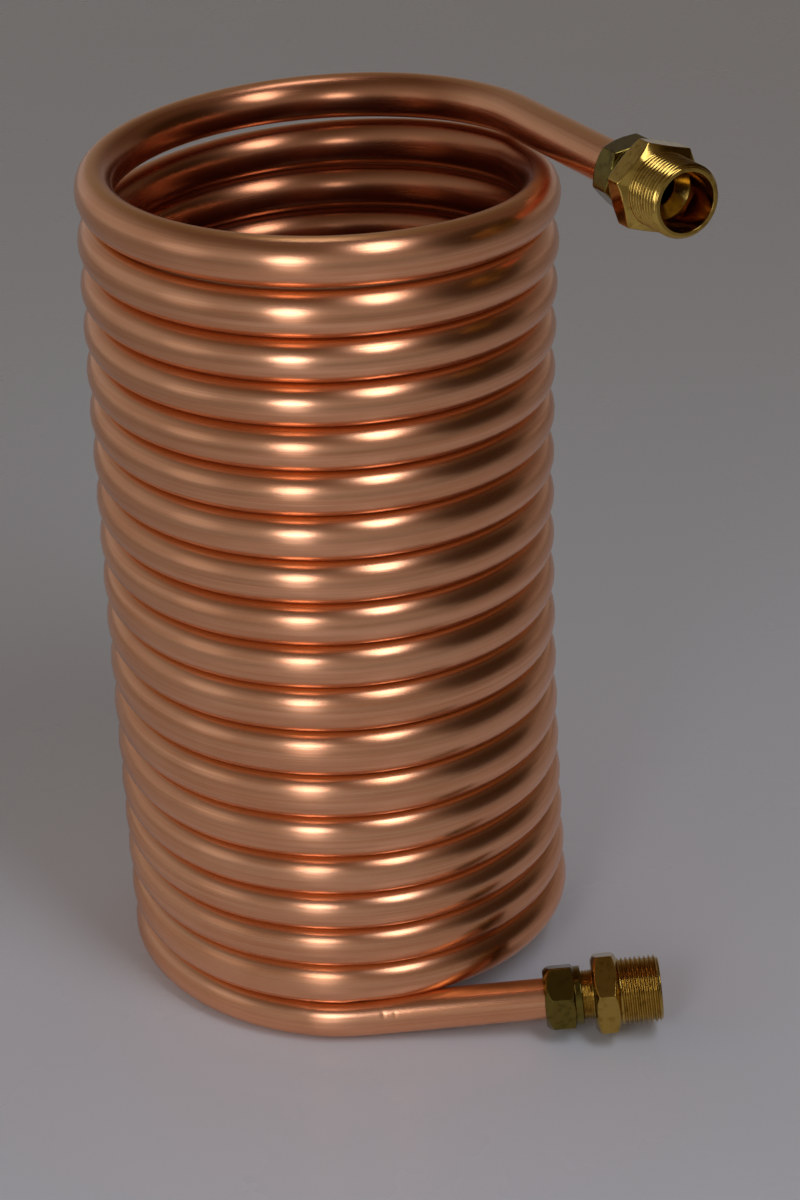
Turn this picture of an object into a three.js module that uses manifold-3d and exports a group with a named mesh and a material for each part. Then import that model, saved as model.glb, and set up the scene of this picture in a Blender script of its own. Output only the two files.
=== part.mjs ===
// Copper tube coil: one length of round copper tube wound into an upright, left-handed helix,
// with a compression adapter to a male pipe thread made up on each end.
// Millimetres, +Z up. The coil stands on its own first turn and on the lower hexagon. The origin
// lies on the floor under the middle of its bounding box, and the front of the coil faces -Y.
import * as THREE from "three";
import { mergeVertices } from "three/addons/utils/BufferGeometryUtils.js";
import Module from "manifold-3d";

const wasm = await Module();
wasm.setup();

// Tube
const tubeDiameter = 16;
const tubeWall = 1;
const windingRadius = 80.4; // coil axis to the tube's centreline at mid height
const windingTaper = -1.2; // change of that radius from mid height to the top
const windingFlare = 1.5; // how much wider the coil is wound at both ends

// The coil is hand wound and stands crooked: its axis leans and bows between mid height and
// its ends, and the space above each turn differs. The turn above the last whole one has
// sprung up off the coil.
const axisLean = { x: 1.5, y: -4.5 };
const axisBow = { x: 2.8, y: 1.5 };
const turnGaps = [
  1.8, 2.2, 0.55, 0.55, 1.7, 2.1, 3.1, 3.1, 2.2, 1.5, 1.1, 1.8, 1.7, 1.2, 0.8, 0.6, 0.6, 3.3, 1.9,
];

// Angles are in degrees, clockwise from the front as seen from above
const wholeTurns = turnGaps.length - 1;
const lowerLeadAngle = 4.2; // where the lower lead leaves the first turn
const upperLeadAngle = 249.2; // where the upper lead leaves the turn above the whole ones

// The back of the first turn is bedded down on the floor between these turn counts
const bedding = { from: 0.15, to: 0.78, depth: 8 };

// Leads: straight, tangent to the coil in plan, rising away from it in degrees
const lowerNutInset = 3.9; // the nut starts this far short of the winding's side
const lowerLeadRise = 3.6;
const upperNutInset = 0.8;
const upperLeadRise = 0.5;

// Clearance between pieces that are made up tight
const fitGap = 0.3;

// Compression nut
const nutLength = 14.8;
const nutSideWall = 1.9; // over its thread, at the middle of a flat
const nutEndWall = 3.5;
const nutEndBevel = 3; // at the corners, on the tube's side
const nutCollarLength = 3.1; // round, on the adapter's side
const nutCollarInset = 0.35; // between the collar and the flats

// Adapter body
const spigotWall = 1.5; // over the tube
const spigotLength = 11; // nut side of the hexagon
const bodyAcrossFlats = 30;
const bodyHexLength = 10.3;
const bodyHexBevel = 2.2; // at the corners
const stubDiameter = 26.4; // male pipe thread, at its crests
const stubLength = 16.3;
const stubChamfer = 1.3;
const mouthDiameter = 21;
const mouthDepth = 15;
const throatDiameter = 13;
const throatConeLength = 4;
const tubeEngagement = 13; // tube inside the adapter body

// Compression ring
const ringThickness = 1.4;
const ringRoom = { lower: 4.7, upper: 2.5 }; // from the nut's seat to the spigot's face
const seatLand = 0.3; // flat end left on the ring beside its cones

// Facets
const tubeStepsPerTurn = 16;
const tubeOuterSides = 10;
const tubeInnerSides = 8;
const roundSides = 24;

const tubeRadius = tubeDiameter / 2;
const boreRadius = tubeRadius + fitGap; // bores that the tube passes through
const fullTurn = 2 * Math.PI;
const startAngle = THREE.MathUtils.degToRad(lowerLeadAngle);
const endAngle = fullTurn * wholeTurns + THREE.MathUtils.degToRad(upperLeadAngle);

// Height that the tube's centreline reaches at the front of each turn
const turnHeights = [tubeRadius];
for (const gap of turnGaps) turnHeights.push(turnHeights.at(-1) + tubeDiameter + gap);

// Rise a turn at the front of one turn, from its neighbours
function turnRise(turn) {
  const below = Math.max(turn - 1, 0);
  const above = Math.min(turn + 1, turnHeights.length - 1);
  return (turnHeights[above] - turnHeights[below]) / (above - below);
}

// How far the bedded stretch of the first turn lies below the rest of the winding
function bedded(turns) {
  const { from, to, depth } = bedding;
  if (turns < from || turns > to) return 0;
  return depth * Math.sin((Math.PI * (turns - from)) / (to - from)) ** 2;
}

// Height of the centreline after a number of turns, on a smooth curve through turnHeights
function windingHeight(turns) {
  const turn = THREE.MathUtils.clamp(Math.floor(turns), 0, turnHeights.length - 2);
  const t = turns - turn;
  const left = 1 - t;
  const height =
    turnHeights[turn] * (1 + 2 * t) * left ** 2 +
    turnHeights[turn + 1] * (1 + 2 * left) * t ** 2 +
    turnRise(turn) * t * left ** 2 -
    turnRise(turn + 1) * left * t ** 2;
  return height - bedded(turns);
}

// The centreline at an angle. The coil's axis and radius vary from mid height to both ends.
function windingPoint(angle) {
  const turns = angle / fullTurn;
  const level = (2 * turns) / wholeTurns - 1;
  const radius = windingRadius + windingTaper * level + windingFlare * level ** 2;
  const x = axisLean.x * level + axisBow.x * level ** 2 - radius * Math.sin(angle);
  const y = axisLean.y * level + axisBow.y * level ** 2 - radius * Math.cos(angle);
  return new THREE.Vector3(x, y, windingHeight(turns));
}

// Horizontal direction in which the winding runs at an angle, seen from above
function windingHeading(angle) {
  return new THREE.Vector3(-Math.cos(angle), Math.sin(angle), 0);
}

// A lead's straight run: where it starts on the coil, and its direction away from the coil
function leadFrom(angle, side, riseDegrees, nutInset, room) {
  const heading = windingHeading(angle).multiplyScalar(side);
  const rise = THREE.MathUtils.degToRad(riseDegrees);
  const direction = heading.multiplyScalar(Math.cos(rise));
  direction.z = Math.sin(rise);
  const start = windingPoint(angle);
  const nutDistance = windingRadius - nutInset;
  const length = nutDistance + nutEndWall + room + tubeEngagement;
  const end = start.clone().addScaledVector(direction, length);
  return { start, direction, length, end };
}

const lowerLead = leadFrom(startAngle, -1, lowerLeadRise, lowerNutInset, ringRoom.lower);
const upperLead = leadFrom(endAngle, 1, upperLeadRise, upperNutInset, ringRoom.upper);

// The tube's centreline: lower lead, winding, upper lead
class CoilPath extends THREE.Curve {
  constructor() {
    super();
    this.windingLength = (windingRadius + windingFlare / 3) * (endAngle - startAngle);
    this.runLength = lowerLead.length + this.windingLength + upperLead.length;
    this.arcLengthDivisions = 100 * wholeTurns;
  }

  getPoint(t, target = new THREE.Vector3()) {
    const along = t * this.runLength - lowerLead.length;
    if (along < 0) return target.copy(lowerLead.start).addScaledVector(lowerLead.direction, -along);
    const past = along - this.windingLength;
    if (past > 0) return target.copy(upperLead.start).addScaledVector(upperLead.direction, past);
    const share = along / this.windingLength;
    return target.copy(windingPoint(THREE.MathUtils.lerp(startAngle, endAngle, share)));
  }
}

function circlePoints(radius, sides) {
  const points = [];
  for (let i = 0; i < sides; i++) {
    const angle = (fullTurn * i) / sides;
    points.push(new THREE.Vector2(radius * Math.cos(angle), radius * Math.sin(angle)));
  }
  return points;
}

function tubeGeometry() {
  const section = new THREE.Shape(circlePoints(tubeRadius, tubeOuterSides));
  section.holes.push(new THREE.Path(circlePoints(tubeRadius - tubeWall, tubeInnerSides)));
  const extrudePath = new CoilPath();
  const steps = Math.round((tubeStepsPerTurn * extrudePath.getLength()) / (fullTurn * windingRadius));
  return new THREE.ExtrudeGeometry(section, { extrudePath, steps });
}

// Joining and cutting
function solidOf(geometry) {
  geometry.deleteAttribute("normal");
  geometry.deleteAttribute("uv");
  const merged = mergeVertices(geometry, 1e-4);
  const corners = merged.index.array;
  const kept = [];
  for (let i = 0; i < corners.length; i += 3) {
    const [a, b, c] = corners.slice(i, i + 3);
    if (a !== b && b !== c && c !== a) kept.push(a, b, c);
  }
  const vertProperties = Float32Array.from(merged.attributes.position.array);
  return new wasm.Manifold(
    new wasm.Mesh({ numProp: 3, vertProperties, triVerts: Uint32Array.from(kept) }),
  );
}

function geometryOf(solid) {
  const { vertProperties, triVerts } = solid.getMesh();
  const geometry = new THREE.BufferGeometry();
  geometry.setAttribute("position", new THREE.BufferAttribute(vertProperties, 3));
  geometry.setIndex(new THREE.BufferAttribute(triVerts, 1));
  return geometry.toNonIndexed();
}

// A solid turned about +Z from [radius, height] pairs that run up the outside
function turned(profile, closed = false) {
  const points = profile.map(([radius, height]) => new THREE.Vector2(radius, height));
  if (closed) points.push(points[0].clone());
  return new THREE.LatheGeometry(points, roundSides).rotateX(Math.PI / 2);
}

// A hexagon bar between two heights. Its ends are bevelled at an angle, back and front being the
// depths of the bevels at the corners.
function hexagon(acrossFlats, from, to, { degrees, back, front }) {
  const corner = acrossFlats / 2 / Math.cos(Math.PI / 6);
  const inwards = 1 / Math.tan(THREE.MathUtils.degToRad(degrees));
  const bar = new THREE.CylinderGeometry(corner, corner, to - from, 6).rotateX(Math.PI / 2);
  bar.translate(0, 0, (from + to) / 2);
  const envelope = turned([
    [0, from],
    [corner - back * inwards, from],
    [corner, from + back],
    [corner, to - front],
    [corner - front * inwards, to],
    [0, to],
  ]);
  return solidOf(bar).intersect(solidOf(envelope));
}

// Heights along a made-up adapter, from the tube's end towards the mouth
const hexBack = spigotLength - tubeEngagement;
const hexFront = hexBack + bodyHexLength;
const mouthFace = hexFront + stubLength;
const spigotFace = hexBack - spigotLength;
const spigotRadius = boreRadius + spigotWall;
const threadRadius = spigotRadius + fitGap; // of the nut, over the spigot
const nutAcrossFlats = 2 * (threadRadius + nutSideWall);
const seatOffset = fitGap * Math.SQRT2; // along the axis, between cones at 45 degrees
const seatDepth = Math.min(ringThickness, spigotRadius - boreRadius - fitGap);

// Heights of the nut's two ends and of its inner seat, for the room that it leaves its ring
function nutHeights(room) {
  const nutSeat = spigotFace - room;
  const nutBack = nutSeat - nutEndWall;
  return { nutFront: nutBack + nutLength, nutBack, nutSeat };
}

function nutGeometry(room) {
  const { nutFront, nutBack, nutSeat } = nutHeights(room);
  const coneDepth = threadRadius - boreRadius;
  const collarRadius = nutAcrossFlats / 2 - nutCollarInset;
  const collarBack = nutFront - nutCollarLength;
  const bevels = { degrees: 45, back: nutEndBevel, front: 0 };
  const collar = turned([
    [0, nutSeat],
    [collarRadius, nutSeat],
    [collarRadius, nutFront],
    [0, nutFront],
  ]);
  const bore = turned([
    [0, nutBack - 1],
    [boreRadius, nutBack - 1],
    [boreRadius, nutSeat],
    [threadRadius, nutSeat + coneDepth],
    [threadRadius, nutFront + 1],
    [0, nutFront + 1],
  ]);
  const outside = hexagon(nutAcrossFlats, nutBack, collarBack, bevels).add(solidOf(collar));
  return geometryOf(outside.subtract(solidOf(bore)));
}

function ringGeometry(room) {
  const backSeat = nutHeights(room).nutSeat + seatOffset;
  const frontSeat = spigotFace + seatDepth - seatOffset;
  const outer = boreRadius + seatDepth;
  return turned(
    [
      [boreRadius, backSeat + seatLand],
      [boreRadius, frontSeat - seatLand],
      [boreRadius + seatLand, frontSeat - seatLand],
      [outer, frontSeat - seatDepth],
      [outer, backSeat + seatDepth],
      [boreRadius + seatLand, backSeat + seatLand],
    ].reverse(),
    true,
  );
}

function bodyGeometry() {
  const stubRadius = stubDiameter / 2;
  const mouthRadius = mouthDiameter / 2;
  const throatRadius = throatDiameter / 2;
  const mouthFloor = mouthFace - mouthDepth;
  const outside = turned([
    [0, spigotFace],
    [spigotRadius, spigotFace],
    [spigotRadius, (hexBack + hexFront) / 2],
    [stubRadius, (hexBack + hexFront) / 2],
    [stubRadius, mouthFace - stubChamfer],
    [stubRadius - stubChamfer, mouthFace],
    [0, mouthFace],
  ]);
  const bore = turned([
    [0, spigotFace - 1],
    [boreRadius + seatDepth + 1, spigotFace - 1],
    [boreRadius, spigotFace + seatDepth],
    [boreRadius, fitGap],
    [throatRadius, fitGap],
    [throatRadius, mouthFloor - throatConeLength],
    [mouthRadius, mouthFloor],
    [mouthRadius, mouthFace + 1],
    [0, mouthFace + 1],
  ]);
  const bevels = { degrees: 30, back: bodyHexBevel, front: bodyHexBevel };
  const hexagonPart = hexagon(bodyAcrossFlats, hexBack, hexFront, bevels);
  return geometryOf(solidOf(outside).add(hexagonPart).subtract(solidOf(bore)));
}

const copper = () => new THREE.MeshStandardMaterial({ color: 0xc27c5a, roughness: 0.32, metalness: 1 });
const brass = () => new THREE.MeshStandardMaterial({ color: 0xb8923a, roughness: 0.25, metalness: 1 });

function namedMesh(name, geometry, material) {
  const mesh = new THREE.Mesh(geometry, material);
  mesh.name = name;
  return mesh;
}

// The three pieces of a made-up adapter, on the end of a lead. A hexagon that isn't turned has
// a corner straight down, and a positive turn is clockwise, looking out along the lead.
function adapterOn(lead, end, hexTurns) {
  const up = new THREE.Vector3(0, 0, 1);
  const right = new THREE.Vector3().crossVectors(lead.direction, up).normalize();
  const down = new THREE.Vector3().crossVectors(lead.direction, right);
  const group = new THREE.Group();
  group.quaternion.setFromRotationMatrix(new THREE.Matrix4().makeBasis(right, down, lead.direction));
  group.position.copy(lead.end);
  const room = ringRoom[end];
  const nut = namedMesh(end + "_compression_nut", nutGeometry(room), brass());
  nut.rotation.z = THREE.MathUtils.degToRad(hexTurns.nut);
  const body = namedMesh(end + "_adapter_body", bodyGeometry(), brass());
  body.rotation.z = THREE.MathUtils.degToRad(hexTurns.body);
  const ring = namedMesh(end + "_compression_ring", ringGeometry(room), brass());
  group.add(nut, ring, body);
  return group;
}

// Lowest point of the tube's underside on part of the first turn, against a floor's normal
function tubeFoot(fromDegrees, toDegrees, normal) {
  let lowest = null;
  for (let degrees = fromDegrees; degrees <= toDegrees; degrees++) {
    const centre = windingPoint(THREE.MathUtils.degToRad(degrees));
    if (lowest === null || centre.dot(normal) < lowest.dot(normal)) lowest = centre;
  }
  return lowest.clone().addScaledVector(normal, -tubeRadius);
}

// Lowest point of the lower hexagon, whose corner points down
function hexagonFoot(normal) {
  const centre = lowerLead.end.clone().addScaledVector(lowerLead.direction, (hexBack + hexFront) / 2);
  const down = normal.clone().addScaledVector(lowerLead.direction, -normal.dot(lowerLead.direction));
  return centre.addScaledVector(down.normalize(), -bodyAcrossFlats / 2 / Math.cos(Math.PI / 6));
}

// The coil stands on the front and the back of its first turn and on the lower hexagon, so the
// floor is the plane under those three feet.
function standingNormal() {
  const normal = new THREE.Vector3(0, 0, 1);
  for (let round = 0; round < 8; round++) {
    const front = tubeFoot(lowerLeadAngle, 100, normal);
    const back = tubeFoot(100, 270, normal);
    const right = hexagonFoot(normal);
    normal.crossVectors(right.sub(front), back.sub(front)).normalize();
  }
  return normal;
}

const coil = new THREE.Group();
coil.add(
  namedMesh("coil_tube", tubeGeometry(), copper()),
  adapterOn(lowerLead, "lower", { nut: 0, body: 0 }),
  adapterOn(upperLead, "upper", { nut: 42, body: 14 }),
);
coil.quaternion.setFromUnitVectors(standingNormal(), new THREE.Vector3(0, 0, 1));

const part = new THREE.Group();
part.add(coil);
part.updateMatrixWorld(true);
const bounds = new THREE.Box3().setFromObject(part, true);
const middle = bounds.getCenter(new THREE.Vector3());
part.position.set(-middle.x, -middle.y, -bounds.min.z);

export default part;
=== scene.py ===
import math

import bmesh
import bpy
from mathutils import Matrix, Vector
from mathutils.geometry import interpolate_bezier


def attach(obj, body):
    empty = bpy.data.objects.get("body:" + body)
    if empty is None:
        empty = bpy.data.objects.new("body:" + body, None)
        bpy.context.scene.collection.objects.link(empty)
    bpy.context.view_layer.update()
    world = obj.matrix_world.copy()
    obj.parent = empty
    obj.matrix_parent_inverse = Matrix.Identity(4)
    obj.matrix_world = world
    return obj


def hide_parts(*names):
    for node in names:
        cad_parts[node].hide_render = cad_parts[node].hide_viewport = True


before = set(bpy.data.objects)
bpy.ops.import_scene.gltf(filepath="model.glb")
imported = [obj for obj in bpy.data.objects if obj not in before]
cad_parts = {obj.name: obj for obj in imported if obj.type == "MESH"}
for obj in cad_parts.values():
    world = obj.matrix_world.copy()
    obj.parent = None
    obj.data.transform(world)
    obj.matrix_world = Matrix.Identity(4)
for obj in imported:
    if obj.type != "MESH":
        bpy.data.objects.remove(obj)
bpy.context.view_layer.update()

metre = 0.001  # lengths are in millimetres here, and meshes are made in metres
fullTurn = 2 * math.pi
scene = bpy.context.scene
print("frame loaded:", sorted(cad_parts))


# Helpers for node trees

def addNode(tree, kind, inputs=None, **settings):
    node = tree.nodes.new(kind)
    for name, value in settings.items():
        setattr(node, name, value)
    for key, value in (inputs or {}).items():
        if isinstance(value, bpy.types.NodeSocket):
            tree.links.new(value, node.inputs[key])
        else:
            node.inputs[key].default_value = value
    return node


def doMath(tree, operation, *values):
    node = addNode(tree, "ShaderNodeMath", dict(enumerate(values)), operation=operation)
    return node.outputs[0]


def doVector(tree, operation, *values, scale=None):
    inputs = dict(enumerate(values))
    if scale is not None:
        inputs["Scale"] = scale
    node = addNode(tree, "ShaderNodeVectorMath", inputs, operation=operation)
    return node.outputs["Value" if operation in ("DISTANCE", "DOT_PRODUCT") else "Vector"]


def smoothStep(tree, value, low, high):
    inputs = {"Value": value, "From Min": low, "From Max": high}
    node = addNode(tree, "ShaderNodeMapRange", inputs, interpolation_type="SMOOTHSTEP")
    return node.outputs[0]


def axisDistance(tree, part):
    squares = (doMath(tree, "MULTIPLY", side, side) for side in (part[0], part[1]))
    return doMath(tree, "SQRT", doMath(tree, "ADD", *squares))


def mixColours(tree, share, colour, other):
    inputs = {0: share, 6: colour, 7: other}
    return addNode(tree, "ShaderNodeMix", inputs, data_type="RGBA").outputs[2]


def addNoise(tree, where, scale, detail):
    inputs = {"Vector": where, "Scale": scale, "Detail": detail}
    return addNode(tree, "ShaderNodeTexNoise", inputs).outputs[0]


def readAttribute(tree, name, output="Vector"):
    return addNode(tree, "ShaderNodeAttribute", attribute_name=name).outputs[output]


def namedField(tree, name, kind="FLOAT_VECTOR"):
    node = addNode(tree, "GeometryNodeInputNamedAttribute", {"Name": name}, data_type=kind)
    return node.outputs[0]


def storeNamed(tree, geometry, name, value, kind="FLOAT_VECTOR"):
    inputs = {"Geometry": geometry, "Name": name, "Value": value}
    return addNode(tree, "GeometryNodeStoreNamedAttribute", inputs, data_type=kind).outputs[0]


def startTree(name, sockets):
    tree = bpy.data.node_groups.new(name, "GeometryNodeTree")
    tree.interface.new_socket("Geometry", in_out="INPUT", socket_type="NodeSocketGeometry")
    for label, kind in sockets.items():
        tree.interface.new_socket(label, in_out="INPUT", socket_type="NodeSocket" + kind)
    tree.interface.new_socket("Geometry", in_out="OUTPUT", socket_type="NodeSocketGeometry")
    return tree, addNode(tree, "NodeGroupInput").outputs


def endTree(tree, geometry, material):
    realized = addNode(tree, "GeometryNodeRealizeInstances", {"Geometry": geometry})
    painted = addNode(tree, "GeometryNodeSetMaterial",
                      {"Geometry": realized.outputs[0], "Material": material})
    addNode(tree, "NodeGroupOutput", {"Geometry": painted.outputs[0]})


def runTree(tree, mesh, values):
    worker = bpy.data.objects.new(tree.name + "Worker", mesh)
    scene.collection.objects.link(worker)
    modifier = worker.modifiers.new(tree.name, "NODES")
    modifier.node_group = tree
    for item in tree.interface.items_tree:
        if item.in_out == "INPUT" and item.name in values:
            modifier[item.identifier] = values[item.name]
    graph = bpy.context.evaluated_depsgraph_get()
    graph.update()
    made = bpy.data.meshes.new_from_object(worker.evaluated_get(graph), depsgraph=graph)
    worker.modifiers.clear()
    bpy.data.objects.remove(worker)
    return made


def addPiece(name, mesh, slot, *nodes):
    mesh.name = name
    piece = bpy.data.objects.new(name, mesh)
    scene.collection.objects.link(piece)
    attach(piece, "root")
    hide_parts(*nodes)
    return piece


# The camera, and the plain studio around the coil

view = {
    "place": (-66.9, -920.9, 614.5),
    "right": (0.9962, -0.08606, -0.01333),
    "ahead": (0.07109, 0.89201, -0.44639),
    "lens": 78,
    "sensor": 36,  # along the frame's taller side
}


def addCamera():
    camera = bpy.data.objects.new("camera", bpy.data.cameras.new("camera"))
    camera.data.sensor_fit = "AUTO"
    camera.data.sensor_width = view["sensor"]
    camera.data.lens = view["lens"]
    camera.data.clip_start = 0.01
    right = Vector(view["right"]).normalized()
    back = -Vector(view["ahead"]).normalized()
    up = back.cross(right).normalized()
    turn = Matrix((right, up, back)).transposed().to_4x4()
    camera.matrix_world = Matrix.Translation(Vector(view["place"]) * metre) @ turn
    scene.collection.objects.link(camera)
    scene.camera = camera


studio = {
    "floorColour": (0.90, 0.93, 0.955, 1),
    "floorRoughness": 0.28,
    "floorPatches": {"scale": 9.0, "roughness": 0.10},
    "floorSize": 12,  # metres
    "worldPale": (0.33, 0.335, 0.345, 1),
    "worldDark": [
        # towards, where the dark begins and is full (cosine), colour there
        ((0.30, 0.05, 0.95), -0.08, 0.78, (0.10, 0.072, 0.052, 1)),
        ((0.93, -0.15, 0.33), 0.80, 0.95, (0.03, 0.019, 0.010, 1)),
    ],
    "lights": {
        # name: where it hangs and what it faces (m), how wide and tall it is (m), watts
        "frontLight": ((-0.19, -0.58, 0.385), (0, 0, 0.27), (0.16, 0.26), 0.43),
        "lowLight": ((-0.20, -0.62, 0.12), (0, 0, 0.17), (0.16, 0.24), 0.08),
        "rightLight": ((0.40, -0.69, 1.19), (0.26, 0, 0.17), (0.33, 0.90), 3.4),
        "leftLight": ((-0.90, -0.42, 0.40), (0, 0, 0.17), (0.45, 0.50), 0.12),
        "topLight": ((-0.02, 0.13, 0.74), (-0.02, 0.12, 0), (0.10, 0.10), 0.12),
    },
    "lightColour": (0.82, 0.86, 1.0),
}


def floorMaterial():
    material = bpy.data.materials.new("paleFloor")
    material.use_nodes = True
    tree = material.node_tree
    shader = tree.nodes["Principled BSDF"]
    where = addNode(tree, "ShaderNodeTexCoord").outputs["Object"]
    patches = studio["floorPatches"]
    rough = doMath(tree, "MULTIPLY_ADD", addNoise(tree, where, patches["scale"], 4.0),
                   patches["roughness"], studio["floorRoughness"] - patches["roughness"] / 2)
    tree.links.new(rough, shader.inputs["Roughness"])
    shader.inputs["Base Color"].default_value = studio["floorColour"]
    return material


def addStudio():
    half = studio["floorSize"] / 2
    mesh = bpy.data.meshes.new("floor")
    mesh.from_pydata([(-half, -half, 0), (half, -half, 0), (half, half, 0), (-half, half, 0)], [],
                     [(0, 1, 2, 3)])
    floor = bpy.data.objects.new("floor", mesh)
    floor.data.materials.append(floorMaterial())
    scene.collection.objects.link(floor)
    for name, (place, aim, (width, height), power) in studio["lights"].items():
        lamp = bpy.data.lights.new(name, "AREA")
        lamp.shape = "ELLIPSE"
        lamp.size, lamp.size_y, lamp.energy = width, height, power
        lamp.color = studio["lightColour"]
        light = bpy.data.objects.new(name, lamp)
        light.location = place
        light.rotation_euler = (Vector(aim) - Vector(place)).to_track_quat("-Z", "Y").to_euler()
        light.visible_camera = False
        scene.collection.objects.link(light)
    world = bpy.data.worlds.new("softGrey")
    world.use_nodes = True
    tree = world.node_tree
    around = addNode(tree, "ShaderNodeTexCoord").outputs["Generated"]
    colour = studio["worldPale"]
    for towards, low, high, darker in studio["worldDark"]:
        facing = doVector(tree, "DOT_PRODUCT", around, Vector(towards).normalized())
        colour = mixColours(tree, smoothStep(tree, facing, low, high), colour, darker)
    background = tree.nodes["Background"]
    tree.links.new(colour, background.inputs["Color"])
    scene.world = world
    scene.view_settings.view_transform = "Standard"
    scene.view_settings.look = "None"


addCamera()
addStudio()
print("camera and studio ready")


# Metal finishes

copper = {
    "colour": (0.94, 0.46, 0.25, 1),
    "darker": (0.80, 0.34, 0.16, 1),
    "grooveShade": (0.84, 0.41, 0.16, 1),  # painted shade where one turn lies on the next, darkening the grooves
    "insideShade": (0.56, 0.23, 0.11, 1),  # painted shade on the side towards the coil's middle, darkening the inside of the coil
    "darkerRange": (0.40, 0.64),  # of bands, lines and patches, in their shares
    "grooveShadeRange": (0.86, 0.97),  # where the painted groove shade starts and is full, up or down from the tube's middle, 1 at its edge
    "insideShadeRange": (-0.05, 0.55),  # where the painted inside shade starts and is full, from the tube's middle towards the coil's axis, 1 at its edge
    "bands": {"scale": 0.6, "share": 0.35},
    "lines": {"spacing": 0.35, "length": 60, "share": 0.4, "roughness": 0.10, "height": 0.35},
    "patches": {"scale": 28.0, "share": 0.25, "roughness": 0.08},
    "specks": {"scale": 0.25, "size": 0.05, "height": 0.3},
    "relief": 0.05,  # how deep a height of 1 is
    "roughness": 0.16,
    "pressedRoughness": 0.12,  # added where a turn is pressed
    "brushed": 0.5,  # how much more the drawn lines blur across the tube than along it
}

brass = {
    "colour": (0.50, 0.32, 0.07, 1),
    "darker": (0.30, 0.17, 0.03, 1),
    "roughness": 0.13,
}

nutBrass = {
    "colour": (0.19, 0.14, 0.028, 1),
    "darker": (0.10, 0.07, 0.014, 1),
    "roughness": 0.16,
}

turned = {  # marks that both brasses share
    "lineScale": 6.0,
    "lineHeight": 0.03,
    "patchScale": 0.35,
    "patchRange": (0.45, 0.8),
    "patchRoughness": 0.12,
}


def newMetal(name):
    material = bpy.data.materials.new(name)
    material.use_nodes = True
    tree = material.node_tree
    shader = tree.nodes["Principled BSDF"]
    shader.inputs["Metallic"].default_value = 1
    return material, tree, shader


def copperMaterial():
    material, tree, shader = newMetal("drawnCopper")
    bands, lines, patches, specks = (copper[mark] for mark in ("bands", "lines", "patches", "specks"))
    flow = readAttribute(tree, "flow")
    drawn = addNode(tree, "ShaderNodeMapping", {"Vector": flow}, vector_type="POINT")
    drawn.inputs["Scale"].default_value = (1, 1, lines["spacing"] / lines["length"])
    where = addNode(tree, "ShaderNodeTexCoord").outputs["Object"]
    banded = addNoise(tree, drawn.outputs[0], bands["scale"], 2.0)
    lined = addNoise(tree, drawn.outputs[0], 1 / lines["spacing"], 3.0)
    patchy = addNoise(tree, where, patches["scale"], 3.0)
    spread = addNode(tree, "ShaderNodeTexVoronoi", {"Vector": flow, "Scale": specks["scale"]})
    specked = smoothStep(tree, spread.outputs["Distance"], 0.0, specks["size"])
    # painted shade where one turn lies on the next: the copper darkens in the grooves between turns
    grooveShade = smoothStep(tree, readAttribute(tree, "touch", "Fac"), *copper["grooveShadeRange"])
    # painted shade on the tube's inner side, darkening the inside of the coil
    insideShade = smoothStep(tree, readAttribute(tree, "inner", "Fac"), *copper["insideShadeRange"])

    tint = doMath(tree, "MULTIPLY", patchy, patches["share"])
    tint = doMath(tree, "MULTIPLY_ADD", lined, lines["share"], tint)
    tint = doMath(tree, "MULTIPLY_ADD", banded, bands["share"], tint)
    darker = smoothStep(tree, tint, *copper["darkerRange"])
    colour = mixColours(tree, darker, copper["colour"], copper["darker"])
    # mix in the painted groove shade, then the painted shade on the coil's inner side
    colour = mixColours(tree, grooveShade, colour, copper["grooveShade"])
    colour = mixColours(tree, insideShade, colour, copper["insideShade"])
    tree.links.new(colour, shader.inputs["Base Color"])
    rough = doMath(tree, "MULTIPLY_ADD", lined, lines["roughness"], copper["roughness"])
    rough = doMath(tree, "MULTIPLY_ADD", grooveShade, copper["pressedRoughness"], rough)
    rough = doMath(tree, "MULTIPLY_ADD", patchy, patches["roughness"], rough)
    tree.links.new(rough, shader.inputs["Roughness"])
    height = doMath(tree, "MULTIPLY", specked, specks["height"])
    height = doMath(tree, "MULTIPLY_ADD", lined, lines["height"], height)
    bump = addNode(tree, "ShaderNodeBump",
                   {"Height": height, "Strength": 0.5, "Distance": copper["relief"] * metre})
    tree.links.new(bump.outputs[0], shader.inputs["Normal"])
    tree.links.new(readAttribute(tree, "lengthwise"), shader.inputs["Tangent"])
    shader.inputs["Anisotropic"].default_value = copper["brushed"]
    shader.inputs["Anisotropic Rotation"].default_value = 0.25  # blurs across the drawn lines
    return material


def brassMaterial(name, values, usesTurning):
    material, tree, shader = newMetal(name)
    if usesTurning:
        spot = readAttribute(tree, "turning")
    else:
        where = addNode(tree, "ShaderNodeTexCoord").outputs["Object"]
        spot = doVector(tree, "SCALE", where, scale=1 / metre)
    part = addNode(tree, "ShaderNodeSeparateXYZ", {0: spot}).outputs
    groove = addNode(tree, "ShaderNodeCombineXYZ", {0: axisDistance(tree, part), 2: part[2]}).outputs[0]
    lines = addNoise(tree, groove, turned["lineScale"], 2.0)
    patches = addNoise(tree, spot, turned["patchScale"], 4.0)
    colour = mixColours(tree, smoothStep(tree, patches, *turned["patchRange"]),
                        values["colour"], values["darker"])
    tree.links.new(colour, shader.inputs["Base Color"])
    rough = doMath(tree, "MULTIPLY_ADD", patches, turned["patchRoughness"],
                   values["roughness"] - turned["patchRoughness"] / 2)
    tree.links.new(rough, shader.inputs["Roughness"])
    bump = addNode(tree, "ShaderNodeBump",
                   {"Height": lines, "Strength": 0.2, "Distance": turned["lineHeight"] * metre})
    tree.links.new(bump.outputs[0], shader.inputs["Normal"])
    return material


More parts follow.
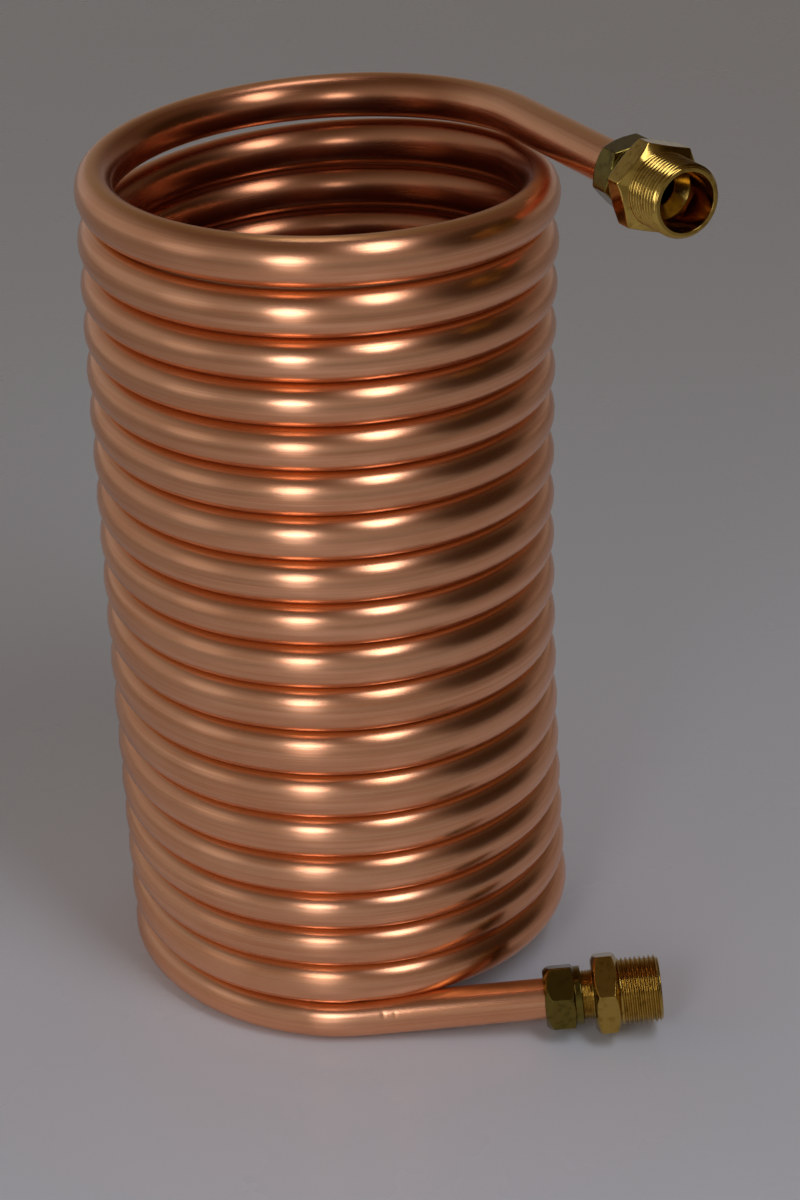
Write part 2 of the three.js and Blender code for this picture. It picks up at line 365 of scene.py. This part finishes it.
copperFinish = copperMaterial()
brassFinish = brassMaterial("turnedBrass", brass, True)
nutFinish = brassMaterial("nutBrass", nutBrass, True)
ringFinish = brassMaterial("ringBrass", brass, False)
print("finishes ready")


# The tube: how the coil is wound, as the solids have it, and how it stands on the floor

winding = {
    "radius": 80.4,
    "taper": -1.2,
    "flare": 1.5,
    "lean": Vector((1.5, -4.5)),
    "bow": Vector((2.8, 1.5)),
    "gaps": (1.8, 2.2, 0.55, 0.55, 1.7, 2.1, 3.1, 3.1, 2.2, 1.5,
             1.1, 1.8, 1.7, 1.2, 0.8, 0.6, 0.6, 3.3, 1.9),
    "bedding": {"from": 0.15, "to": 0.78, "depth": 8},
    "upright": (0.029919, 0.011521, 0.999486),  # the floor's normal, in the coil's own frame
    "shift": (-16.082189, 1.935378, 1.09456),
}

# Winding makes the tube oval: how far it reaches up and down from its middle
oval = {
    "free": 8.5,  # where no turn lies against it
    "most": 9.4,  # where it lies against one
    "floor": 8.0,  # down from the first turn
    "space": 0.08,  # left to the next turn, each side
    "ease": 0.16,  # turns over which each end goes back to round
    "slit": (18.22, 18.38, 18.68),  # turns at which the last one lifts off, lifts most, and is down
}

tube = {
    "diameter": 16,
    "wall": 1,
    "stepsPerTurn": 72,
    "outerSides": 44,
    "innerSides": 14,
    "jointEase": 16,  # length over which a lead's bend is spread, each side of its start
    "waviness": 0.12,
    "waveLength": 45,
    "seed": 4,
    "dings": [  # where in the lower lead, how wide (radius) and how deep
        ((-9.1, -82.9, 13.5), 1.7, 0.10),
        ((-4.6, -83.5, 13.4), 1.5, 0.08),
    ],
    "dingSpacing": 0.5,  # between the tube's rings in the lower bend
    "dingRun": 10,  # and in this much of the lead after it
    "bendSteps": 7,  # in the upper bend
    "insideShadeEase": 0.5,  # radians over which the painted shade on the inner side starts
}

tubeRadius = tube["diameter"] / 2

leads = {  # angles in degrees
    "lower": {"angle": 4.2, "turn": 0, "side": -1, "rise": 3.6, "nutInset": 3.9, "exposed": 4.4},
    "upper": {"angle": 249.2, "turn": len(winding["gaps"]) - 1, "side": 1, "rise": 0.5, "nutInset": 0.8,
              "exposed": 2.2},
}

joint = {
    "clearance": 0.3,
    "spigotWall": 1.5,
    "spigotLength": 11,
    "tubeEngagement": 13,  # tube inside the adapter's body
    "hexTurns": {"lower": {"nut": 0, "body": 0}, "upper": {"nut": 42, "body": 14}},
}

nut = {
    "length": 14.8,
    "sideWall": 1.9,
    "endWall": 3.5,
    "endBevel": 3,
    "collarLength": 3.1,
    "collarInset": 0.35,
}

turnHeights = [tubeRadius]
for gap in winding["gaps"]:
    turnHeights.append(turnHeights[-1] + tube["diameter"] + gap)


def turnRise(turn):
    below, above = max(turn - 1, 0), min(turn + 1, len(turnHeights) - 1)
    return (turnHeights[above] - turnHeights[below]) / (above - below)


def windingHeight(turns):
    turn = min(max(int(turns), 0), len(turnHeights) - 2)
    t = turns - turn
    left = 1 - t
    height = (turnHeights[turn] * (1 + 2 * t) * left ** 2 + turnHeights[turn + 1] * (1 + 2 * left) * t ** 2
              + turnRise(turn) * t * left ** 2 - turnRise(turn + 1) * left * t ** 2)
    bed = winding["bedding"]
    if bed["from"] < turns < bed["to"]:
        share = (turns - bed["from"]) / (bed["to"] - bed["from"])
        height -= bed["depth"] * math.sin(math.pi * share) ** 2
    return height


def windingPoint(angle):
    turns = angle / fullTurn
    level = 2 * turns / (len(winding["gaps"]) - 1) - 1
    radius = winding["radius"] + winding["taper"] * level + winding["flare"] * level ** 2
    axis = winding["lean"] * level + winding["bow"] * level ** 2
    x, y = axis.x - radius * math.sin(angle), axis.y - radius * math.cos(angle)
    return Vector((x, y, windingHeight(turns)))


# How far the wound tube reaches out, up and down from its middle
def ovalReach(angle):
    turns = angle / fullTurn
    first, last = (leads[end]["turn"] + leads[end]["angle"] / 360 for end in ("lower", "upper"))

    def towards(a, b, unmet):
        if not first <= b <= last:
            return unmet
        half = abs(windingHeight(b) - windingHeight(a)) / 2 - oval["space"]
        apart = min(max(half - oval["most"], 0), 1)
        return min(half, oval["most"]) * (1 - apart) + oval["free"] * apart

    def slitShare(turns):
        opens, widest, closes = oval["slit"]
        share = min((turns - opens) / (widest - opens), (closes - turns) / (closes - widest), 1)
        return max(share, 0) ** 2 * (3 - 2 * max(share, 0))

    up = towards(turns, turns + 1, oval["free"])
    down = towards(turns, turns - 1, oval["floor"])
    up += (tubeRadius - up) * slitShare(turns + 1)
    down += (tubeRadius - down) * slitShare(turns)
    eased = min((turns - first) / oval["ease"], (last - turns) / oval["ease"], 1)
    eased = eased ** 2 * (3 - 2 * eased)
    up, down = (tubeRadius + (reach - tubeRadius) * eased for reach in (up, down))
    return tube["diameter"] - (up + down) / 2, up, down  # it loses across what it gains in height


def leadLine(end):
    lead = leads[end]
    angle = fullTurn * lead["turn"] + math.radians(lead["angle"])
    rise = math.radians(lead["rise"])
    level = lead["side"] * math.cos(rise)
    direction = Vector((-math.cos(angle) * level, math.sin(angle) * level, math.sin(rise)))
    start = windingPoint(angle)
    nutDistance = winding["radius"] - lead["nutInset"]
    length = (nutDistance + nut["length"] + lead["exposed"] - joint["spigotLength"]
              + joint["tubeEngagement"])
    return {"angle": angle, "start": start, "direction": direction, "length": length,
            "end": start + direction * length}


# The middle of the tube from end to end, with its reaches and the way to the coil's axis
def tubePath():
    lower, upper = leadLine("lower"), leadLine("upper")
    ease = tube["jointEase"]
    easeAngle = ease / winding["radius"]
    first, last = lower["angle"] + easeAngle, upper["angle"] - easeAngle
    steps = round((last - first) / fullTurn * tube["stepsPerTurn"])
    angles = [first + (last - first) * i / steps for i in range(steps + 1)]
    reaches = [ovalReach(angle) for angle in angles]
    wound, inwards = [], []
    for angle, reach in zip(angles, reaches):
        outward = Vector((-math.sin(angle), -math.cos(angle), 0))
        wound.append(windingPoint(angle) + outward * (tubeRadius - reach[0]))
        # the way inwards, read by the painted shade on the inner side, eased in at each end of the winding
        eased = min((angle - first) / tube["insideShadeEase"], (last - angle) / tube["insideShadeEase"], 1)
        inwards.append(-outward * eased)
    spacing = (wound[1] - wound[0]).length

    def straight(line, near, far, count):
        return [line["start"] + line["direction"] * (near + (far - near) * i / count)
                for i in range(count + 1)]

    fine, run = tube["dingSpacing"], tube["dingRun"]
    lowerSteps, upperSteps = (round(line["length"] / spacing / 2) for line in (lower, upper))
    lowerRun = straight(lower, ease, ease + run, round(run / fine))
    lowerRun += straight(lower, ease + run, lower["length"], lowerSteps)[1:]
    lowerRun.reverse()
    upperRun = straight(upper, ease, upper["length"], upperSteps)

    def bend(before, start, end, after, count):
        third = (end - start).length / 3
        leaving = start + (start - before).normalized() * third
        arriving = end - (after - end).normalized() * third
        return interpolate_bezier(start, leaving, arriving, end, count)[1:-1]

    lowerPart = lowerRun + bend(lowerRun[-2], lowerRun[-1], wound[0], wound[1], round(2 * ease / fine))
    upperPart = bend(wound[-2], wound[-1], upperRun[0], upperRun[1], tube["bendSteps"]) + upperRun
    unsqueezed = (tubeRadius,) * 3
    reaches = [unsqueezed] * len(lowerPart) + reaches + [unsqueezed] * len(upperPart)
    inwards = [Vector()] * len(lowerPart) + inwards + [Vector()] * len(upperPart)
    return lowerPart + wound + upperPart, reaches, inwards


standing = (Matrix.Translation(Vector(winding["shift"]))
            @ Vector(winding["upright"]).rotation_difference(Vector((0, 0, 1))).to_matrix().to_4x4())


# Sweeps the tube round its path, squeezes it oval, and notes what its finish follows
def sweepTree():
    sockets = {"Diameter": "Float", "Wall": "Float", "Outer Sides": "Int", "Inner Sides": "Int",
               "Waviness": "Float", "Wave Length": "Float", "Seed": "Int", "Finish": "Material"}
    tree, inputs = startTree("sweepTube", sockets)
    position = addNode(tree, "GeometryNodeInputPosition").outputs[0]
    line = addNode(tree, "GeometryNodeMeshToCurve", {"Mesh": inputs["Geometry"]}).outputs[0]
    along = addNode(tree, "GeometryNodeSplineParameter").outputs["Length"]
    line = storeNamed(tree, line, "along", along, "FLOAT")
    line = storeNamed(tree, line, "lengthwise", addNode(tree, "GeometryNodeInputTangent").outputs[0])
    line = storeNamed(tree, line, "core", position)
    outerRadius = doMath(tree, "MULTIPLY", inputs["Diameter"], 0.5)
    innerRadius = doMath(tree, "SUBTRACT", outerRadius, inputs["Wall"])
    walls = []
    for radius, sides in ((outerRadius, "Outer Sides"), (innerRadius, "Inner Sides")):
        ring = addNode(tree, "GeometryNodeCurvePrimitiveCircle",
                       {"Resolution": inputs[sides], "Radius": radius})
        section = storeNamed(tree, ring.outputs[0], "section", position)
        swept = addNode(tree, "GeometryNodeCurveToMesh", {"Curve": line, "Profile Curve": section})
        walls.append(swept.outputs[0])
    walls[1] = addNode(tree, "GeometryNodeFlipFaces", {"Mesh": walls[1]}).outputs[0]
    joined = addNode(tree, "GeometryNodeJoinGeometry")
    for wall in walls:
        tree.links.new(wall, joined.inputs[0])

    run = addNode(tree, "ShaderNodeCombineXYZ", {2: namedField(tree, "along", "FLOAT")}).outputs[0]
    flow = doVector(tree, "ADD", namedField(tree, "section"), run)
    shape = storeNamed(tree, joined.outputs[0], "flow", flow)
    core = namedField(tree, "core")
    arm = doVector(tree, "SUBTRACT", position, core)
    rise = addNode(tree, "ShaderNodeSeparateXYZ", {0: arm}).outputs[2]
    # how far up or down from the tube's middle each point lies, read by the painted groove shade
    touch = doMath(tree, "DIVIDE", doMath(tree, "ABSOLUTE", rise), outerRadius)
    shape = storeNamed(tree, shape, "touch", touch, "FLOAT")
    # how far each point faces the coil's axis, read by the painted shade on the inner side
    inner = doVector(tree, "DOT_PRODUCT", arm, namedField(tree, "inwards"))
    shape = storeNamed(tree, shape, "inner", doMath(tree, "DIVIDE", inner, outerRadius), "FLOAT")

    out, up, down = addNode(tree, "ShaderNodeSeparateXYZ", {0: namedField(tree, "reach")}).outputs
    above = doMath(tree, "GREATER_THAN", rise, 0.0)
    more = doMath(tree, "MULTIPLY", above, doMath(tree, "SUBTRACT", up, down))
    tall = doMath(tree, "DIVIDE", doMath(tree, "ADD", more, down), outerRadius)
    wide = doMath(tree, "DIVIDE", out, outerRadius)
    stretch = addNode(tree, "ShaderNodeCombineXYZ", {0: wide, 1: wide, 2: tall}).outputs[0]
    squeezed = doVector(tree, "MULTIPLY_ADD", arm, stretch, core)
    shape = addNode(tree, "GeometryNodeSetPosition", {"Geometry": shape, "Position": squeezed}).outputs[0]

    normal = addNode(tree, "GeometryNodeInputNormal").outputs[0]
    shift = addNode(tree, "ShaderNodeCombineXYZ", {0: inputs["Seed"]}).outputs[0]
    wave = addNoise(tree, doVector(tree, "ADD", position, shift),
                    doMath(tree, "DIVIDE", 1.0, inputs["Wave Length"]), 1.0)
    swell = doMath(tree, "MULTIPLY", doMath(tree, "SUBTRACT", wave, 0.5), inputs["Waviness"])
    pushes = [swell]
    for place, radius, depth in tube["dings"]:
        away = doVector(tree, "DISTANCE", position, Vector(place))
        pushes.append(doMath(tree, "MULTIPLY_ADD", smoothStep(tree, away, 0.0, radius), depth, -depth))
    for push in pushes:
        offset = doVector(tree, "SCALE", normal, scale=push)
        shape = addNode(tree, "GeometryNodeSetPosition", {"Geometry": shape, "Offset": offset}).outputs[0]
    smooth = addNode(tree, "GeometryNodeSetShadeSmooth", {"Geometry": shape, "Shade Smooth": True})
    endTree(tree, smooth.outputs[0], inputs["Finish"])
    return tree


def addTube():
    points, reaches, inwards = tubePath()
    path = [standing @ point for point in points]
    line = bpy.data.meshes.new("tubeLine")
    line.from_pydata(path, [(i, i + 1) for i in range(len(path) - 1)], [])
    for name, vectors in (("reach", reaches), ("inwards", inwards)):
        kept = line.attributes.new(name, "FLOAT_VECTOR", "POINT")
        kept.data.foreach_set("vector", [value for vector in vectors for value in vector])
    mesh = runTree(sweepTree(), line, {
        "Diameter": float(tube["diameter"]), "Wall": float(tube["wall"]), "Outer Sides": tube["outerSides"],
        "Inner Sides": tube["innerSides"], "Waviness": tube["waviness"],
        "Wave Length": float(tube["waveLength"]), "Seed": tube["seed"], "Finish": copperFinish})
    shell = bmesh.new()
    shell.from_mesh(mesh)
    rims = [edge for edge in shell.edges if edge.is_boundary]
    lowerEnd = Vector(path[0])
    atLower = [e for e in rims if (e.verts[0].co - lowerEnd).length < tube["diameter"]]
    atUpper = [e for e in rims if e not in atLower]
    for rim in (atLower, atUpper):
        bmesh.ops.bridge_loops(shell, edges=rim)
    shell.to_mesh(mesh)
    shell.free()
    mesh.transform(Matrix.Scale(metre, 4))
    return addPiece("copper_tube", mesh, "copper", "coil_tube")


coilTube = addTube()
print("tube made:", len(coilTube.data.polygons), "faces")


# The adapters, in millimetres, each along its own Z: 0 is the tube's end, and the mouth is up

body = {
    "acrossFlats": 30,
    "hexLength": 10.3,
    "hexBevel": 2.2,
    "stubDiameter": 26.4,
    "stubLength": 16.3,
    "stubChamfer": 1.3,
    "mouthDiameter": 21,
    "mouthDepth": 15,
    "throatDiameter": 13,
    "throatCone": 4,
    "pipeThread": {"Pitch": 1.814, "Depth": 1.05, "Runout": 1.0},
    "neckThread": {"Pitch": 1.0, "Depth": 0.5, "Runout": 0.4},
}

# Where the angular samples of a hexagon stand, in degrees from each corner
hexSamples = (0, 0.6, 1.4, 2.6, 4.5, 8, 13, 18.5, 24, 30, 36, 41.5, 47, 52, 55.5, 57.4, 58.6, 59.4)
cornerSharpness = 80  # higher is sharper
edgeRounding = 0.08  # where the turning cuts into the flats
mergeDistance = 0.015  # points closer than this are one
rowsBeside = 1.4  # the rows next to a rounding, in its own size
threadFlat = 0.03  # of a turn, level at crest and root
threadGap = 0.25  # between a thread and the hexagon

boreRadius = tubeRadius + joint["clearance"]
spigotRadius = boreRadius + joint["spigotWall"]
threadRadius = spigotRadius + joint["clearance"]
hexBack = joint["spigotLength"] - joint["tubeEngagement"]
hexFront = hexBack + body["hexLength"]
mouthFace = hexFront + body["stubLength"]
spigotFace = hexBack - joint["spigotLength"]


# Rows round a closed profile, whose corners give radius, height, rounding, and row spacing after it
def profileRows(corners):
    arcs = []
    for i, (radius, height, rounding, spacing) in enumerate(corners):
        here = Vector((radius, height))
        before = (Vector(corners[i - 1][:2]) - here).normalized() * rounding
        after = (Vector(corners[(i + 1) % len(corners)][:2]) - here).normalized() * rounding
        bent = [here + before * (1 - t) ** 2 + after * t ** 2 for t in (0, 0.25, 0.5, 0.75, 1)]
        arcs.append([here + before * rowsBeside, *bent, here + after * rowsBeside])
    rows = []
    for i, arc in enumerate(arcs):
        start, end = arc[-1], arcs[(i + 1) % len(arcs)][0]
        steps = max(1, round((end - start).length / corners[i][3]))
        rows += arc + [start.lerp(end, j / steps) for j in range(1, steps)]
    return rows


def hexRadius(acrossFlats, angle):
    facing = [max(math.cos(angle - math.radians(60 * side)), 0) for side in range(6)]
    return acrossFlats / 2 / sum(value ** cornerSharpness for value in facing) ** (1 / cornerSharpness)


# Turns a closed profile from hexagon bar
def turnedBar(corners, acrossFlats):
    rows = profileRows(corners)
    angles = [math.radians(30 + 60 * side + offset) for side in range(6) for offset in hexSamples]
    flats = [hexRadius(acrossFlats, angle) for angle in angles]
    places = []
    for radius, height in rows:
        for angle, flat in zip(angles, flats):
            shy = edgeRounding * math.log1p(math.exp(-abs(radius - flat) / edgeRounding))
            kept = min(radius, flat) - shy
            places.append((kept * math.cos(angle), kept * math.sin(angle), height))
    around, along = len(angles), len(rows)
    faces = [(i * around + j, i * around + (j + 1) % around,
              (i + 1) % along * around + (j + 1) % around, (i + 1) % along * around + j)
             for i in range(along) for j in range(around)]
    mesh = bpy.data.meshes.new("bar")
    mesh.from_pydata(places, [], faces)
    shell = bmesh.new()
    shell.from_mesh(mesh)
    bmesh.ops.remove_doubles(shell, verts=shell.verts, dist=mergeDistance)
    bmesh.ops.recalc_face_normals(shell, faces=shell.faces)
    shell.to_mesh(mesh)
    shell.free()
    mesh.shade_smooth()
    turning = mesh.attributes.new("turning", "FLOAT_VECTOR", "POINT")
    turning.data.foreach_set("vector", [value for vertex in mesh.vertices for value in vertex.co])
    return mesh


# Cuts a right-handed thread into what stands out to its crests
def threadTree():
    sockets = {name: "Float" for name in ("Pitch", "Depth", "Crest", "From", "To", "Runout")}
    tree, inputs = startTree("cutThread", {**sockets, "Finish": "Material"})
    position = addNode(tree, "GeometryNodeInputPosition").outputs[0]
    part = addNode(tree, "ShaderNodeSeparateXYZ", {0: position}).outputs
    radius = axisDistance(tree, part)
    turns = doMath(tree, "DIVIDE", doMath(tree, "ARCTAN2", part[1], part[0]), fullTurn)
    phase = doMath(tree, "SUBTRACT", doMath(tree, "DIVIDE", part[2], inputs["Pitch"]), turns)
    flank = smoothStep(tree, doMath(tree, "PINGPONG", phase, 0.5), threadFlat, 0.5 - threadFlat)
    started = smoothStep(tree, doMath(tree, "SUBTRACT", part[2], inputs["From"]), 0.0, inputs["Runout"])
    running = doMath(tree, "LESS_THAN", part[2], inputs["To"])
    depth = doMath(tree, "MULTIPLY", doMath(tree, "MULTIPLY", flank, inputs["Depth"]),
                   doMath(tree, "MULTIPLY", started, running))
    cut = doMath(tree, "MINIMUM", radius, doMath(tree, "SUBTRACT", inputs["Crest"], depth))
    away = doVector(tree, "MULTIPLY", position, (1.0, 1.0, 0.0))
    share = doMath(tree, "SUBTRACT", doMath(tree, "DIVIDE", cut, radius), 1.0)
    begun = doMath(tree, "GREATER_THAN", part[2], inputs["From"])
    threaded = addNode(tree, "GeometryNodeSetPosition",
                       {"Geometry": inputs["Geometry"], "Offset": doVector(tree, "SCALE", away, scale=share),
                        "Selection": doMath(tree, "MULTIPLY", begun, running)})
    endTree(tree, threaded.outputs[0], inputs["Finish"])
    return tree


# From an adapter's own axes, at the end of a lead, to where it stands
def adapterPlace(end, hexTurn):
    line = leadLine(end)
    ahead = line["direction"].normalized()
    right = ahead.cross(Vector((0, 0, 1))).normalized()
    frameTurn = Matrix((right, ahead.cross(right), ahead)).transposed().to_4x4()
    made = standing @ Matrix.Translation(line["end"]) @ frameTurn
    return Matrix.Scale(metre, 4) @ made @ Matrix.Rotation(math.radians(hexTurn), 4, "Z")


def addNut(end):
    front = hexBack - leads[end]["exposed"]
    back = front - nut["length"]
    seat = back + nut["endWall"]
    acrossFlats = 2 * (threadRadius + nut["sideWall"])
    corner = acrossFlats / math.sqrt(3)
    collar = acrossFlats / 2 - nut["collarInset"]
    collarBack = front - nut["collarLength"]
    bevel = nut["endBevel"]
    past = 0.4  # outside the corners, where the bar's own flats stay
    foot = 0.4  # slope where the collar starts
    mesh = turnedBar([
        (boreRadius, back, 0.3, 0.6),
        (corner - bevel, back, 0.25, 0.2),
        (corner + past, back + bevel + past, 0.2, 0.8),
        (corner + past, collarBack - 0.7, 0.2, 0.2),
        (collar + foot, collarBack, 0.15, 0.2),
        (collar, collarBack + foot, 0.15, 0.5),
        (collar, front, 0.45, 0.4),
        (threadRadius, front, 0.25, 0.8),
        (threadRadius, seat + threadRadius - boreRadius, 0.2, 0.5),
        (boreRadius, seat, 0.2, 0.8),
    ], acrossFlats)
    mesh.materials.append(nutFinish)
    mesh.transform(adapterPlace(end, joint["hexTurns"][end]["nut"]))
    return addPiece(end + "_nut", mesh, "brass", end + "_compression_nut")


def addBody(end, tree):
    corner = body["acrossFlats"] / math.sqrt(3)
    inset = body["hexBevel"] * math.sqrt(3)
    stub, mouth = body["stubDiameter"] / 2, body["mouthDiameter"] / 2
    throat = body["throatDiameter"] / 2
    mouthFloor = mouthFace - body["mouthDepth"]
    seat = spigotRadius - boreRadius - joint["clearance"]
    bevel = body["hexBevel"]
    past = 0.35  # outside the corners, where the bar's own flats stay
    mesh = turnedBar([
        (spigotRadius - 0.3, spigotFace, 0.1, 0.4),
        (spigotRadius, spigotFace + 0.3, 0.1, 0.12),
        (spigotRadius, hexBack, 0.15, 0.4),
        (corner - inset, hexBack, 0.25, 0.25),
        (corner + past, hexBack + bevel + 0.2, 0.2, 0.8),
        (corner + past, hexFront - bevel - 0.2, 0.2, 0.25),
        (corner - inset, hexFront, 0.1, 0.25),
        (stub, hexFront + 0.2, 0.1, 0.15),
        (stub, mouthFace - body["stubChamfer"], 0.15, 0.15),
        (stub - body["stubChamfer"], mouthFace, 0.15, 0.3),
        (mouth, mouthFace, 0.3, 1.0),
        (mouth, mouthFloor, 0.3, 0.5),
        (throat, mouthFloor - body["throatCone"], 0.3, 0.8),
        (throat, joint["clearance"], 0.2, 0.6),
        (boreRadius, joint["clearance"], 0.2, 1.2),
        (boreRadius, spigotFace + seat, 0.2, 0.5),
    ], body["acrossFlats"])
    neck = {**body["neckThread"], "Crest": spigotRadius, "From": spigotFace,
            "To": hexBack - threadGap}
    pipe = {**body["pipeThread"], "Crest": stub, "From": hexFront + threadGap,
            "To": mouthFace}
    for values in (neck, pipe):
        sizes = {name: float(value) for name, value in values.items()}
        mesh = runTree(tree, mesh, {**sizes, "Finish": brassFinish})
    mesh.transform(adapterPlace(end, joint["hexTurns"][end]["body"]))
    return addPiece(end + "_body", mesh, "brass", end + "_adapter_body")


threads = threadTree()
for end in leads:
    addNut(end)
    made = addBody(end, threads)
    ring = bpy.data.objects[end + "_compression_ring"]
    for finish in ring.material_slots:
        finish.material = ringFinish
    print(end, "adapter made:", len(made.data.polygons), "faces")
